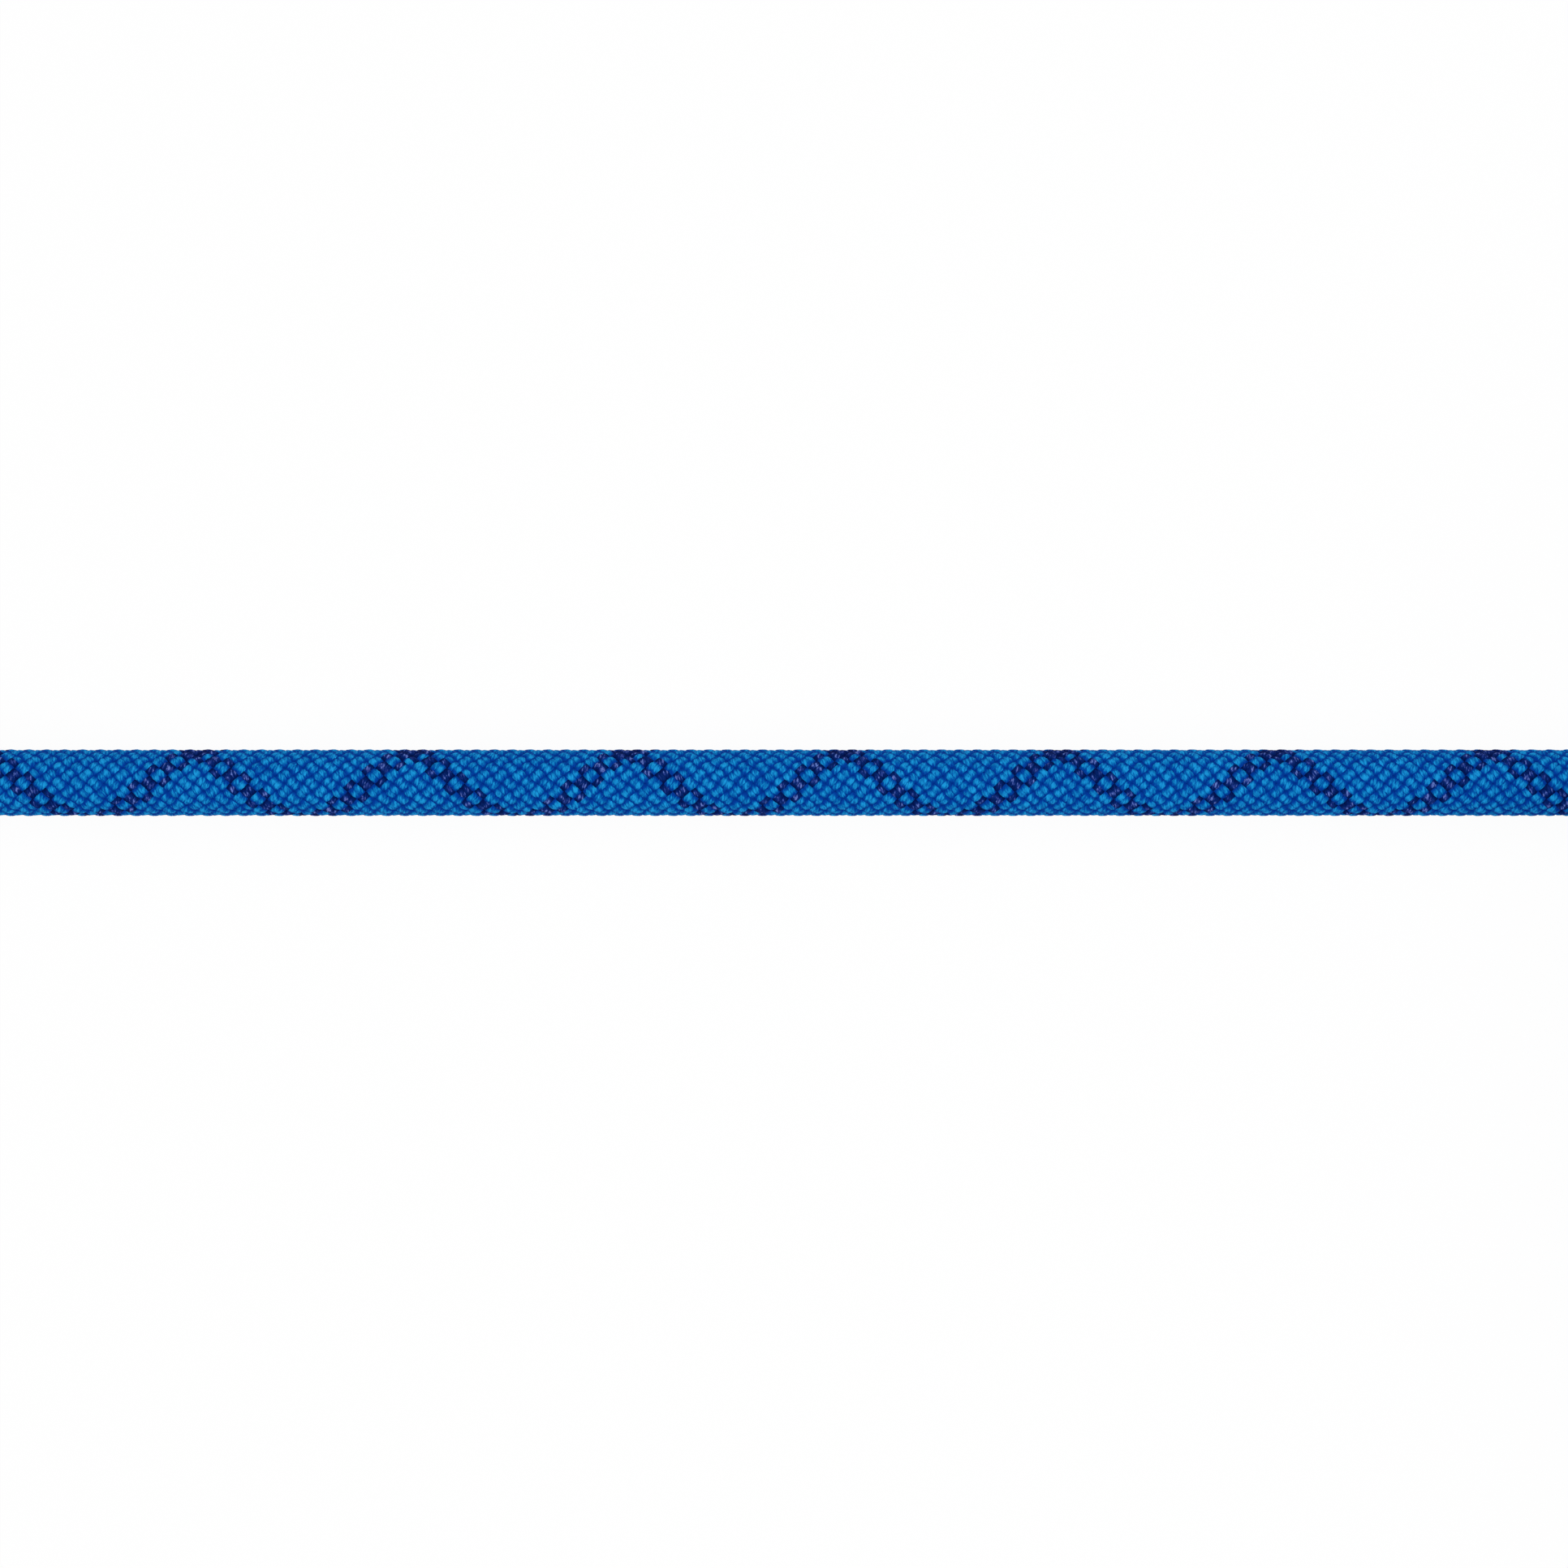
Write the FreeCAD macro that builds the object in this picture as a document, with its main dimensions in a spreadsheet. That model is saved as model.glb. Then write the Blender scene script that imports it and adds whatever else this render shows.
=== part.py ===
"""A dynamic climbing rope: a straight stretch of kernmantle rope with its core laid in, and the
rest of its length folded into a tied hank in line with it.

Frame: millimetres, +Z up, the rope along X. The origin is the middle of the whole thing on the
ground that it lies on. The left end lies free and the right end lies on top of the hank.
"""
import FreeCAD, Part
import math
import os

import Sketcher
from FreeCAD import Placement, Rotation, Vector

# Driving dimensions, in millimetres, and counts
DRIVING = {
    "rope_diameter": 10.0,
    "sheath_wall": 1.05,
    "stretch_length": 326.0,
    "seat_depth": 0.5,
    "seat_shoulder": 0.3,
    "sleeve_length": 25.0,
    "sleeve_wall": 0.45,
    "sleeve_gap": 0.05,
    "tip_length": 3.0,
    "tip_show": 1.5,
    "tip_bevel": 0.9,
    "strand_gap": 0.04,
    "outer_strands": 9,
    "inner_strands": 3,
    "tape_width": 2.5,
    "tape_thickness": 0.12,
    "tape_gap": 0.06,
    "fold_radius": 25.0,
    "run_length": 217.0,
    "waist_length": 40.0,
    "waist_gap": 0.4,
    "waist_bend": 72.0,
    "layer_count": 10,
    "turns_per_layer": 3,
    "turn_gap": 1.05,
    "layer_gap": 0.2,
    "section_ease": 1.0,
    "ridge_rise": 1.8,
    "filling_gap": 0.3,
    "tie_width": 25.0,
    "tie_thickness": 1.2,
    "tie_gap": 0.3,
    "tie_corner": 2.5,
    "tie_overlap": 46.0,
}

doc = FreeCAD.newDocument("ClimbingRope")
sheet = doc.addObject("Spreadsheet::Sheet", "Sizes")
for row, (name, value) in enumerate(DRIVING.items(), start=1):
    sheet.set(f"A{row}", name)
    sheet.set(f"B{row}", str(value))
    sheet.setAlias(f"B{row}", name)
doc.recompute()


def size(name):
    """A driving dimension, read from the sheet."""
    return float(sheet.get(name))


# Sizes that follow from the driving ones
rope_radius = size("rope_diameter") / 2
turn_step = size("rope_diameter") + size("turn_gap")
layer_step = size("rope_diameter") + size("layer_gap")
layers = int(size("layer_count"))
rings = int(size("turns_per_layer"))
outer_fold = size("fold_radius") + (rings - 1) * turn_step
waist_middle = rope_radius + size("waist_gap") / 2
half_span = (size("run_length") - size("waist_length")) / 2
bend_height = waist_middle + size("waist_bend")
both_radii = size("fold_radius") + size("waist_bend")
slant_length = math.sqrt(half_span**2 + bend_height**2 - both_radii**2)
slant = math.atan2(both_radii, slant_length) - math.atan2(bend_height, half_span)
section_half = (size("rope_diameter") - size("section_ease")) / 2
section_width = section_half + rope_radius
section_area = 2 * section_half * (section_width - size("ridge_rise") / 2)

# Places along X, from the outer face of the left tip, and the shift that centres the whole
sheath_start = size("tip_length")
junction_x = sheath_start + size("stretch_length")
near_fold_x = junction_x + size("rope_diameter")
far_fold_x = near_fold_x + size("run_length")
hank_end_x = far_fold_x + outer_fold + rope_radius
shift_x = -hank_end_x / 2
stretch_y = outer_fold
waist_x = (near_fold_x + far_fold_x) / 2
rope_end_x = waist_x + size("waist_length") / 2


def level(number):
    """Height of the rope's centre in a layer of the hank, counted from 0 on the ground."""
    return rope_radius + number * layer_step


def placed(x, y, z, rotation=Rotation()):
    """A placement at a point given from the left tip, moved into the part's own frame."""
    return Placement(Vector(x + shift_x, y, z), rotation)


ALONG_X = Rotation(Vector(0, 1, 0), 90)


# Solid bars and tubes along X


def bar(name, radius, length, place):
    """A round bar along X, with its radius and length as expressions of the sheet."""
    item = doc.addObject("Part::Cylinder", name)
    item.setExpression("Radius", radius)
    item.setExpression("Height", length)
    item.Placement = place
    return item


def boolean(kind, name, base, tool):
    """One solid cut from, or joined to, another."""
    item = doc.addObject(f"Part::{kind}", name)
    item.Base = base
    item.Tool = tool
    return item


SEAT_RADIUS = "Sizes.rope_diameter / 2 - Sizes.seat_depth"
SEAT_LENGTH = (
    "Sizes.sleeve_length + Sizes.seat_shoulder - Sizes.tip_length + Sizes.tip_show"
)
BORE_RADIUS = "Sizes.rope_diameter / 2 - Sizes.sheath_wall"


def make_sheath():
    """The braided jacket of the straight stretch: a tube, drawn down where the end sleeve grips."""
    seat_end = sheath_start + size("sleeve_length") + size("seat_shoulder")
    seat_end -= size("tip_length") - size("tip_show")
    full = bar(
        "SheathBody",
        "Sizes.rope_diameter / 2",
        f"Sizes.stretch_length - ({SEAT_LENGTH})",
        placed(seat_end, stretch_y, rope_radius, ALONG_X),
    )
    seat = bar(
        "SheathSeat",
        SEAT_RADIUS,
        SEAT_LENGTH,
        placed(sheath_start, stretch_y, rope_radius, ALONG_X),
    )
    bore = bar(
        "SheathBore",
        BORE_RADIUS,
        "Sizes.stretch_length",
        placed(sheath_start, stretch_y, rope_radius, ALONG_X),
    )
    solid = boolean("Fuse", "SheathSolid", full, seat)
    return labelled(boolean("Cut", "Sheath", solid, bore), "sheath")


def core_layout():
    """Strand radius and the radii of the two rings of core strands that fill the bore, for an
    inner ring whose strands face the gaps between the outer ones."""
    inner = 1 / math.sin(math.pi / size("inner_strands"))
    phase = math.cos(math.pi / size("outer_strands"))
    reach = inner * phase + math.sqrt((inner * phase) ** 2 - inner**2 + 4)
    reach = max(reach, 1 / math.sin(math.pi / size("outer_strands")))
    tape_room = size("tape_thickness") + 2 * size("tape_gap")
    room = rope_radius - size("sheath_wall") - tape_room
    pitch = room / (reach + 1)
    return pitch - size("strand_gap") / 2, inner * pitch, reach * pitch


def make_core_strands():
    """The load-bearing core: three-ply strands laid side by side, half with S and half with Z
    twist, so that the rope hangs without spinning."""
    radius, inner_ring, outer_ring = core_layout()
    made = []
    for ring_name, ring, count_name in (
        ("inner", inner_ring, "inner_strands"),
        ("outer", outer_ring, "outer_strands"),
    ):
        count = int(size(count_name))
        phase = math.pi / size("outer_strands") if ring_name == "inner" else 0.0
        for number in range(count):
            angle = phase + 2 * math.pi * number / count
            y = stretch_y + ring * math.cos(angle)
            z = rope_radius + ring * math.sin(angle)
            item = doc.addObject("Part::Cylinder", f"Core{ring_name.title()}{number + 1}")
            item.Radius = radius
            item.setExpression("Height", "Sizes.stretch_length")
            item.Placement = placed(sheath_start, y, z, ALONG_X)
            made.append(labelled(item, f"core_strand_{ring_name}_{number + 1}"))
    return made


def new_body(name, place):
    """A body with its own frame and a sketch on its YZ plane, whose normal is +X."""
    body = doc.addObject("PartDesign::Body", name)
    body.Placement = place
    sketch = add_sketch(body, f"{name}Sketch", "YZ_Plane")
    return body, sketch


def add_sketch(body, name, plane):
    """An empty sketch on one of a body's own planes."""
    sketch = body.newObject("Sketcher::SketchObject", name)
    face = next(f for f in body.Origin.OriginFeatures if f.Role == plane)
    sketch.AttachmentSupport = [(face, "")]
    sketch.MapMode = "FlatFace"
    return sketch


def chain(sketch, pieces):
    """Draws a closed chain of lines and arcs in a sketch and joins their ends."""
    first = sketch.GeometryCount
    count = len(pieces)
    pieces = [anticlockwise(piece) for piece in pieces]
    for piece in pieces:
        sketch.addGeometry(piece, False)
    for k, piece in enumerate(pieces):
        following = pieces[(k + 1) % count]
        end = nearest_end(piece, following)
        start = nearest_end(following, piece)
        sketch.addConstraint(
            Sketcher.Constraint(
                "Coincident", first + k, end, first + (k + 1) % count, start
            )
        )


def anticlockwise(piece):
    """The same line, or the same arc with its ends swapped if it runs clockwise."""
    if isinstance(piece, Part.LineSegment) or piece.Axis.z > 0:
        return piece
    middle = piece.value((piece.FirstParameter + piece.LastParameter) / 2)
    return Part.ArcOfCircle(piece.EndPoint, middle, piece.StartPoint)


def nearest_end(piece, other):
    """1 or 2: the end of a sketched line or arc that meets the other piece."""
    ends = (piece.StartPoint, piece.EndPoint)
    gaps = [
        min((p - other.StartPoint).Length, (p - other.EndPoint).Length) for p in ends
    ]
    return 1 + gaps.index(min(gaps))


def line(x0, y0, x1, y1):
    """A line in a sketch's plane."""
    return Part.LineSegment(Vector(x0, y0, 0), Vector(x1, y1, 0))


def arc(centre_x, centre_y, radius, start, end):
    """An anticlockwise arc in a sketch's plane, from one angle to another in radians."""
    circle = Part.Circle(Vector(centre_x, centre_y, 0), Vector(0, 0, 1), radius)
    return Part.ArcOfCircle(circle, start, end)


def add_pad(body, name, sketch, length, midplane=False):
    """A pad whose length is an expression of the sheet."""
    pad = body.newObject("PartDesign::Pad", name)
    pad.Profile = sketch
    pad.Midplane = midplane
    pad.setExpression("Length", length)
    sketch.Visibility = False
    return pad


def labelled(item, label):
    """Names a finished sub-part after its node and hands it back."""
    item.Label = label
    return item


def make_marker_tape():
    """The maker's identification tape: a thin ribbon under the sheath, here with nothing on it."""
    outer = rope_radius - size("sheath_wall") - size("tape_gap")
    inner = outer - size("tape_thickness")
    half = size("tape_width") / (outer + inner)
    top = math.pi / 2
    body, sketch = new_body("Tape", placed(sheath_start, stretch_y, rope_radius))
    corners = [
        (r * math.cos(a), r * math.sin(a))
        for r, a in (
            (inner, top + half),
            (outer, top + half),
            (outer, top - half),
            (inner, top - half),
        )
    ]
    chain(
        sketch,
        [
            arc(0, 0, outer, top - half, top + half),
            line(*corners[1], *corners[0]),
            arc(0, 0, inner, top - half, top + half),
            line(*corners[3], *corners[2]),
        ],
    )
    add_pad(body, "TapePad", sketch, "Sizes.stretch_length")
    return labelled(body, "marker_tape")


def make_end_sleeve(side, x, y, z):
    """A heat-shrunk sleeve that holds the sheath and the core together at a rope end."""
    outer = bar(
        f"Sleeve{side}Outer",
        f"{SEAT_RADIUS} + Sizes.sleeve_gap + Sizes.sleeve_wall",
        "Sizes.sleeve_length",
        placed(x, y, z, ALONG_X),
    )
    inner = bar(
        f"Sleeve{side}Bore",
        f"{SEAT_RADIUS} + Sizes.sleeve_gap",
        "Sizes.sleeve_length",
        placed(x, y, z, ALONG_X),
    )
    sleeve = boolean("Cut", f"Sleeve{side}", outer, inner)
    return labelled(sleeve, f"end_sleeve_{side.lower()}")


def make_sealed_tip(side, x, y, z, turn):
    """The nylon at a rope end, melted so that it seals the sheath to the core, with the rim
    rounded off by a bevel."""
    body = doc.addObject("PartDesign::Body", f"Tip{side}")
    body.Placement = placed(x, y, z, turn)
    sketch = add_sketch(body, f"Tip{side}Sketch", "XY_Plane")
    radius = rope_radius - size("seat_depth")
    end = size("tip_length")
    profile = [
        (0, 0),
        (0, radius),
        (end - size("tip_bevel"), radius),
        (end, radius - size("tip_bevel")),
        (end, 0),
    ]
    chain(sketch, [line(*a, *b) for a, b in zip(profile, profile[1:] + profile[:1])])
    turned = body.newObject("PartDesign::Revolution", f"Tip{side}Turned")
    turned.Profile = sketch
    turned.ReferenceAxis = (sketch, ["H_Axis"])
    turned.Angle = 360
    sketch.Visibility = False
    return labelled(body, f"sealed_tip_{side.lower()}")


# The hank's plan: every turn keeps the same distance from its neighbour all the way round


class Route:
    """A path of tangent lines and arcs that grows piece by piece. It keeps the point it has
    reached and its heading in plan, as an angle."""

    def __init__(self, start, heading=0.0):
        self.at = start
        self.heading = heading
        self.pieces = []

    def ahead(self, turned=0.0):
        """The direction of travel, turned to the left by an angle."""
        angle = self.heading + turned
        return Vector(math.cos(angle), math.sin(angle), 0)

    def forward(self, length):
        """A straight line."""
        end = self.at + self.ahead() * length
        self.pieces.append(Part.LineSegment(self.at, end))
        self.at = end

    def climb(self, length, rise):
        """Two tangent arcs that leave the level and come back to it higher up."""
        steepest = 2 * math.atan2(rise, length)
        radius = length / (2 * math.sin(steepest))
        to_side = self.ahead() * (radius * math.sin(steepest / 2))
        off_line = Vector(0, 0, radius * (1 - math.cos(steepest / 2)))
        end = self.at + self.ahead() * length + Vector(0, 0, rise)
        joint = (self.at + end) / 2
        self.pieces.append(Part.ArcOfCircle(self.at, self.at + to_side + off_line, joint))
        self.pieces.append(Part.ArcOfCircle(joint, end - to_side - off_line, end))
        self.at = end

    def turn(self, angle, radius):
        """A level arc, to the left for a positive angle."""
        to_centre = self.ahead(math.copysign(math.pi / 2, angle)) * radius
        centre = self.at + to_centre
        middle = centre + Rotation(Vector(0, 0, 1), math.degrees(angle / 2)) * -to_centre
        end = centre + Rotation(Vector(0, 0, 1), math.degrees(angle)) * -to_centre
        self.pieces.append(Part.ArcOfCircle(self.at, middle, end))
        self.at = end
        self.heading += angle


def waist_radius(fold):
    """The radius of the bends beside the waist, in a turn whose folds have this radius. Turns
    further out have larger folds and smaller bends, so they all stay the same distance apart."""
    return both_radii - fold


def lay_slant(route, rise):
    """The straight part between a fold and the waist, or its climb."""
    if rise:
        route.climb(slant_length, rise)
    else:
        route.forward(slant_length)


def lay_run(route, fold, rise=0.0):
    """One run of a turn, from fold to fold: in to the waist, straight under the tie and out
    again, climbing by rise on the way."""
    lay_slant(route, rise / 2)
    route.turn(slant, waist_radius(fold))
    route.forward(size("waist_length"))
    route.turn(slant, waist_radius(fold))
    lay_slant(route, rise / 2)


def fold_over(route, fold):
    """The fold at either end of the hank, clockwise from one run to the next."""
    route.turn(-math.pi - 2 * slant, fold)


def fold_inward(route, fold):
    """A fold that also steps one turn further in."""
    route.turn(-slant, fold)
    route.turn(-math.pi, fold - turn_step / 2)
    route.turn(-slant, fold - turn_step)


def winding_route():
    """The outer turns from the bottom up, and then the top layer from the outside in."""
    route = Route(Vector(junction_x, outer_fold, level(0)))
    route.forward(near_fold_x - junction_x)
    route.turn(-slant, outer_fold)
    for _ in range(layers - 1):
        lay_run(route, outer_fold)
        fold_over(route, outer_fold)
        lay_run(route, outer_fold, rise=layer_step)
        fold_over(route, outer_fold)
    fold = outer_fold
    for _ in range(rings - 1):
        lay_run(route, fold)
        fold_inward(route, fold)
        fold -= turn_step
        lay_run(route, fold)
        fold_over(route, fold)
    lay_slant(route, 0.0)
    route.turn(slant, waist_radius(fold))
    route.forward(size("waist_length"))
    return route


def section_wire(centre):
    """The wound rope's faceted section, across the X axis: a ridge on the outer side, a flat top
    and bottom, and a plain inner side that lies against the turns inside."""
    shoulder = rope_radius - size("ridge_rise")
    corners = [
        centre + Vector(0, y, z)
        for y, z in (
            (rope_radius, 0),
            (shoulder, section_half),
            (-section_half, section_half),
            (-section_half, -section_half),
            (shoulder, -section_half),
        )
    ]
    return Part.makePolygon(corners + corners[:1])


def least_gap(edges):
    """The least room between two stretches of the path that aren't neighbours along it: the
    distance of their centres, measured on points, less the section's width."""
    points, travelled, total = [], [], 0.0
    for edge in edges:
        count = max(2, round(edge.Length / (size("rope_diameter") / 2)))
        points += edge.discretize(count + 1)[:-1]
        travelled += [total + edge.Length * k / count for k in range(count)]
        total += edge.Length
    cell = 1.5 * size("rope_diameter")
    grid = {}
    for k, point in enumerate(points):
        grid.setdefault(tuple(int(c // cell) for c in point), []).append(k)
    steps = [(i, j, k) for i in (-1, 0, 1) for j in (-1, 0, 1) for k in (-1, 0, 1)]
    least = cell
    for key, members in grid.items():
        cells = (grid.get(tuple(map(sum, zip(key, step))), []) for step in steps)
        near = [n for found in cells for n in found if n + 1 < len(points)]
        for k in members:
            apart = [n for n in near if travelled[n] - travelled[k] > 3 * cell]
            least = min([least, *(to_segment(points[k], *points[n : n + 2]) for n in apart)])
    return least - section_width


def to_segment(point, start, end):
    """The distance of a point from a short straight piece of the path."""
    along = end - start
    share = max(0.0, min(1.0, (point - start).dot(along) / along.dot(along)))
    return (point - start - along * share).Length


def turn_length(fold):
    """The length of one whole turn of the hank: two runs and two folds."""
    run = 2 * slant_length + size("waist_length") + 2 * slant * waist_radius(fold)
    return 2 * run + 2 * (math.pi + 2 * slant) * fold


def held_length():
    """The rope's whole length, with every layer's inner turns counted. The innermost turn of the
    top layer is left out but for its end, which lies under the tie."""
    last_fold = size("fold_radius")
    to_hank = near_fold_x + slant * outer_fold
    turns = sum(turn_length(last_fold + ring * turn_step) for ring in range(rings))
    end = slant_length + slant * waist_radius(last_fold) + size("waist_length")
    left_out = turn_length(last_fold)
    return to_hank + layers * turns - left_out + end + stub_length() + size("tip_length")


def make_winding():
    """The hank's outer turns and its whole top layer, as one unbroken faceted cord, with the
    round stub at its end that the right sleeve grips."""
    route = winding_route()
    edges = [piece.toShape() for piece in route.pieces]
    path = Part.Wire(edges)
    shape = path.makePipeShell([section_wire(edges[0].Vertexes[0].Point)], True, False)
    stub = Part.makeCylinder(
        rope_radius - size("seat_depth"), stub_length(), route.at, Vector(1, 0, 0)
    )
    expected = section_area * path.Length
    print(
        f"winding: {path.Length / 1000:.2f} m in {layers + rings - 1} turns, volume "
        f"{shape.Volume / expected:.4f} of section times length, least gap to itself "
        f"{least_gap(edges):.2f} mm"
    )
    print(f"rope length from tip to tip: {held_length() / 1000:.2f} m")
    winding = doc.addObject("Part::Feature", "Winding")
    slot = tie_slot_box()
    winding.Shape = shape.fuse(stub).cut(slot).removeSplitter()
    winding.Placement = placed(0, 0, 0)
    return labelled(winding, "hank_outer_turns")


def stub_length():
    """How far the rope goes on into its right end sleeve, up to the sealed tip."""
    return (
        size("seat_shoulder")
        + size("sleeve_length")
        - size("tip_length")
        + size("tip_show")
    )


def tie_slot_box():
    """The flat that the tie presses into the rope's underside."""
    width = size("tie_width") + 2 * size("tie_gap")
    half = outer_fold + rope_radius
    height = size("tie_thickness") + size("tie_gap")
    return Part.makeBox(
        width, 2 * half, height + rope_radius, Vector(waist_x - width / 2, -half, -rope_radius)
    )


def hank_outline(fold):
    """The closed outline, in plan and centred on the hank, that a turn with this fold follows."""
    corner = Vector(half_span + size("waist_length") / 2, 0, 0)
    touch = Vector(math.sin(slant), math.cos(slant), 0) * fold
    route = Route(touch - corner, -slant)
    for _ in range(2):
        lay_run(route, fold)
        fold_over(route, fold)
    return route.pieces


def eye_outline(side):
    """The opening inside one of the hank's folds, closed to a narrow slit at the waist."""
    fold = size("fold_radius") - rope_radius
    edge = Vector(side * size("waist_length") / 2, side * size("waist_gap") / 2, 0)
    route = Route(edge, 0.0 if side > 0 else math.pi)
    route.turn(slant, waist_radius(fold))
    route.forward(slant_length)
    fold_over(route, fold)
    route.forward(slant_length)
    route.turn(slant, waist_radius(fold))
    route.pieces.append(Part.LineSegment(route.at, edge))
    return route.pieces


def make_inner_turns():
    """The turns inside the outer ones, as the plain block that they fill, with the eye in each
    fold, the flat under the tie and a level underside that the hank rests on."""
    body = doc.addObject("PartDesign::Body", "Inner")
    body.Placement = placed(waist_x, 0, 0)
    sketch = add_sketch(body, "InnerPlan", "XY_Plane")
    chain(sketch, hank_outline(outer_fold - section_half - size("filling_gap")))
    chain(sketch, eye_outline(1))
    chain(sketch, eye_outline(-1))
    add_pad(
        body,
        "InnerPad",
        sketch,
        "(Sizes.layer_count - 1) * (Sizes.rope_diameter + Sizes.layer_gap)",
    )
    slot = add_sketch(body, "InnerSlot", "XY_Plane")
    half_x = size("tie_width") / 2 + size("tie_gap")
    half_y = outer_fold
    chain(
        slot,
        [
            line(-half_x, -half_y, half_x, -half_y),
            line(half_x, -half_y, half_x, half_y),
            line(half_x, half_y, -half_x, half_y),
            line(-half_x, half_y, -half_x, -half_y),
        ],
    )
    pocket = body.newObject("PartDesign::Pocket", "InnerTieFlat")
    pocket.Profile = slot
    pocket.Reversed = True
    pocket.setExpression("Length", "Sizes.tie_thickness + Sizes.tie_gap")
    slot.Visibility = False
    return labelled(body, "hank_inner_turns")


def rounded_box(y0, y1, z0, z1, radius):
    """The outline of a rectangle with round corners, in a YZ sketch."""
    up = math.pi / 2
    return [
        line(y0 + radius, z0, y1 - radius, z0),
        arc(y1 - radius, z0 + radius, radius, 3 * up, 4 * up),
        line(y1, z0 + radius, y1, z1 - radius),
        arc(y1 - radius, z1 - radius, radius, 0, up),
        line(y1 - radius, z1, y0 + radius, z1),
        arc(y0 + radius, z1 - radius, radius, up, 2 * up),
        line(y0, z1 - radius, y0, z0 + radius),
        arc(y0 + radius, z0 + radius, radius, 2 * up, 3 * up),
    ]


def make_tie():
    """The tie: a flat band drawn round the waist, whose end overlaps itself on top."""
    thickness = size("tie_thickness")
    half = waist_middle + (rings - 1) * turn_step + rope_radius + size("tie_gap")
    top = level(layers - 1) + section_half + size("tie_gap")
    inner = size("tie_corner")
    body, sketch = new_body("Tie", placed(waist_x, 0, 0))
    chain(
        sketch,
        rounded_box(
            -half - thickness, half + thickness, 0, top + thickness, inner + thickness
        ),
    )
    chain(sketch, rounded_box(-half, half, thickness, top, inner))
    add_pad(body, "TieBand", sketch, "Sizes.tie_width", midplane=True)
    flap = add_sketch(body, "TieFlapSketch", "YZ_Plane")
    reach = size("tie_overlap") / 2
    low, high = top + thickness / 2, top + 2 * thickness
    nose = 2 * thickness
    chain(
        flap,
        [
            line(-reach, low, reach, low),
            line(reach, low, reach, high - thickness / 3),
            line(reach, high - thickness / 3, reach - nose, high),
            line(reach - nose, high, -reach + nose, high),
            line(-reach + nose, high, -reach, high - thickness / 3),
            line(-reach, high - thickness / 3, -reach, low),
        ],
    )
    add_pad(body, "TieFlap", flap, "Sizes.tie_width", midplane=True)
    return labelled(body, "tie_band")


def check(parts):
    """Stops with a plain message if anything failed to build or isn't one sound solid."""
    doc.recompute()
    failed = [
        item.Label
        for item in doc.Objects
        if "Invalid" in item.State or "Error" in item.State
    ]
    if failed:
        raise RuntimeError(f"these objects failed to build: {failed}")
    for item in parts:
        shape = item.Shape
        if shape.isNull() or not shape.isValid() or len(shape.Solids) != 1:
            raise RuntimeError(f"{item.Label} isn't one valid solid")
        print(f"{item.Label}: {shape.Volume / 1000:.3f} cm3")


end_z = level(layers - 1)
parts = [make_sheath(), *make_core_strands(), make_marker_tape()]
parts += [
    make_end_sleeve("Left", size("tip_show"), stretch_y, rope_radius),
    make_end_sleeve("Right", rope_end_x + size("seat_shoulder"), waist_middle, end_z),
    make_sealed_tip(
        "Left", sheath_start, stretch_y, rope_radius, Rotation(Vector(0, 0, 1), 180)
    ),
    make_sealed_tip("Right", rope_end_x + stub_length(), waist_middle, end_z, Rotation()),
    make_winding(),
    make_inner_turns(),
    make_tie(),
]
check(parts)

os.makedirs("parts", exist_ok=True)
for item in parts:
    item.Shape.exportStep(f"parts/{item.Label}.step")
print(f"{len(parts)} parts")
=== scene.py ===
"""The looks of a dynamic climbing rope: a straight stretch of it, braided yarn by yarn, and the
rest of its 20 metres folded into a tied hank in line with it.

Metres, in the CAD model's own frame: +Z up, the rope along X, the floor at z = 0.
"""

import math

import bmesh
import bpy
import numpy as np
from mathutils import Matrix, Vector, noise


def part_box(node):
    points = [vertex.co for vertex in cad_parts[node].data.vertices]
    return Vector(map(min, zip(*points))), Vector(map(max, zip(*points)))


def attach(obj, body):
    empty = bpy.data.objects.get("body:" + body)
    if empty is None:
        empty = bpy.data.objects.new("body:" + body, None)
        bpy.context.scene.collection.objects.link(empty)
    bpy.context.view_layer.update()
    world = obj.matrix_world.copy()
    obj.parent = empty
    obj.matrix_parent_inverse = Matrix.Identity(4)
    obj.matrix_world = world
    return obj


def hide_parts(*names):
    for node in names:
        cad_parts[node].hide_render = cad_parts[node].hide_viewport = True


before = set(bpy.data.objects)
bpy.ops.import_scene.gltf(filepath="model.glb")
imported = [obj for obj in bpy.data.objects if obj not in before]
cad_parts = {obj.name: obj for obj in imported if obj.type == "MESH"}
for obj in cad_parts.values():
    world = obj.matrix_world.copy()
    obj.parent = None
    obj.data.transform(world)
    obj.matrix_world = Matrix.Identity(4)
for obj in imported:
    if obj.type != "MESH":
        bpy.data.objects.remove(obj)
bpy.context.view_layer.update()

# The camera looks straight down on the free stretch, as the photograph does, from far enough
# away that the round rope keeps its diameter. The frame is 24.1 rope diameters wide.
MM = 0.001
ROPE = 10.0 * MM
ROPE_Y = 47.1 * MM
VIEW_WIDTH = 24.1 * ROPE
VIEW_X = -150.3 * MM
LENS = 85.0
SENSOR = 36.0
SIGHTLINE_OFF = 0.2 * MM

camera = bpy.data.objects.new("camera", bpy.data.cameras.new("camera"))
bpy.context.scene.collection.objects.link(camera)
camera.data.lens = LENS
camera.data.sensor_width = SENSOR
camera.location = (
    VIEW_X,
    ROPE_Y - SIGHTLINE_OFF,
    ROPE / 2 + VIEW_WIDTH * LENS / SENSOR,
)
bpy.context.scene.camera = camera

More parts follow.
